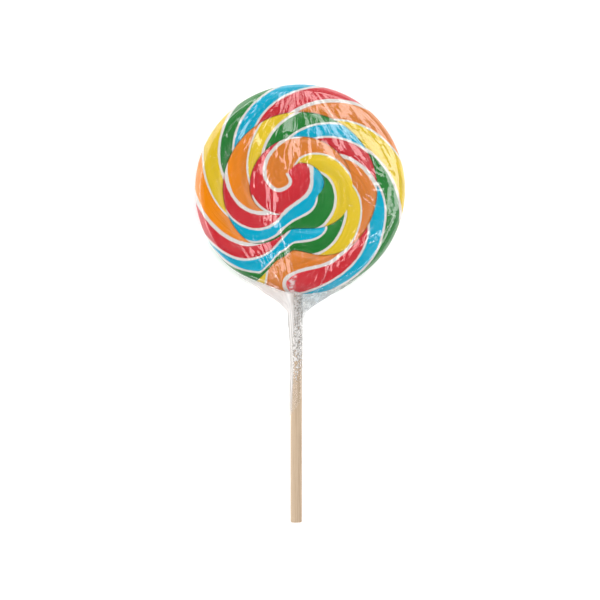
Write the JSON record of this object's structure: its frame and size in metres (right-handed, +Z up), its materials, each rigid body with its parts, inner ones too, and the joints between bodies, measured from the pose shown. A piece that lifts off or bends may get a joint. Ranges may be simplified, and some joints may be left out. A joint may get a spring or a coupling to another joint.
{
  "type": "swirl lollipop",
  "caption": "Flat round swirl lollipop of a wound, striped candy rope on a wooden stick, in clear film gathered round the stick.",
  "frame": {"origin": "on the surface it lies on, under the centre of the disc; the flat back of the wrapped disc rests there", "axes": "+Z up, out of the shown face; +Y from the stick to the far side of the disc, along the stick; +X to the right"},
  "size_m": [0.076, 0.1563, 0.0092],
  "materials": {
    "candy": "clear-coated boiled sugar in orange, yellow, green, blue and red bands with white lines between them",
    "stick": "pale birch dowel, sanded, unvarnished",
    "film": "thin clear glossy film with fine pleats and creases"
  },
  "bodies": {
    "root": {"candy": "candy", "stick": "stick", "wrapper": "film"}
  },
  "joints": []
}
